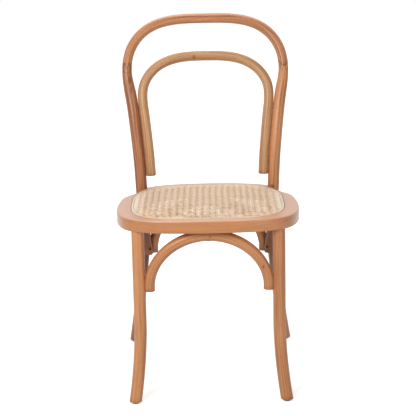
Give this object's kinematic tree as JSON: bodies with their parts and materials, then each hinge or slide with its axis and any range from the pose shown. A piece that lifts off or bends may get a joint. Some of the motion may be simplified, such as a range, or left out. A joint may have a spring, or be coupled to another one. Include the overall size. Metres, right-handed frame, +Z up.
{
  "type": "bentwood dining chair",
  "caption": "Bentwood dining chair with a round-shouldered double bow back, a cane seat in a wide wooden ring, flared legs and bent arch braces under the seat.",
  "frame": {"origin": "centre of the bounding box's base, on the floor plane that the glides stand on", "axes": "+Z up the chair, -Y the way the sitter faces, +X towards the right of someone looking at the chair's front"},
  "size_m": [0.4432, 0.4814, 0.894],
  "materials": {
    "stained_wood": "semi-matt varnish on beech stained a warm tan",
    "pale_wood": "semi-matt varnish on paler, yellower beech",
    "cane": "woven natural cane, satin on its outer side",
    "cane_strip": "satin cane",
    "dark_steel": "blackened screw",
    "glide_plastic": "moulded black"
  },
  "bodies": {
    "root": {"seat_ring": "stained_wood", "top_bow": "stained_wood", "front_arch": "stained_wood", "rear_arch": "stained_wood", "front_leg_left": "stained_wood", "front_leg_right": "stained_wood", "rear_post_left": "stained_wood", "rear_post_right": "stained_wood", "side_arch_left": "stained_wood", "side_arch_right": "stained_wood", "inner_bow": "pale_wood", "cane_web": "cane", "cane_strip": "cane_strip", "bow_screw_left_lower": "dark_steel", "bow_screw_left_upper": "dark_steel", "bow_screw_right_lower": "dark_steel", "bow_screw_right_upper": "dark_steel", "post_bolt_left": "dark_steel", "post_bolt_right": "dark_steel", "front_arch_screw_left": "dark_steel", "front_arch_screw_right": "dark_steel", "rear_arch_screw_left": "dark_steel", "rear_arch_screw_right": "dark_steel", "side_arch_front_screw_left": "dark_steel", "side_arch_front_screw_right": "dark_steel", "side_arch_rear_screw_left": "dark_steel", "side_arch_rear_screw_right": "dark_steel", "front_arch_crown_screw": "dark_steel", "rear_arch_crown_screw": "dark_steel", "side_arch_crown_screw_left": "dark_steel", "side_arch_crown_screw_right": "dark_steel", "glide_front_left": "glide_plastic", "glide_front_right": "glide_plastic", "glide_rear_left": "glide_plastic", "glide_rear_right": "glide_plastic"}
  },
  "joints": []
}
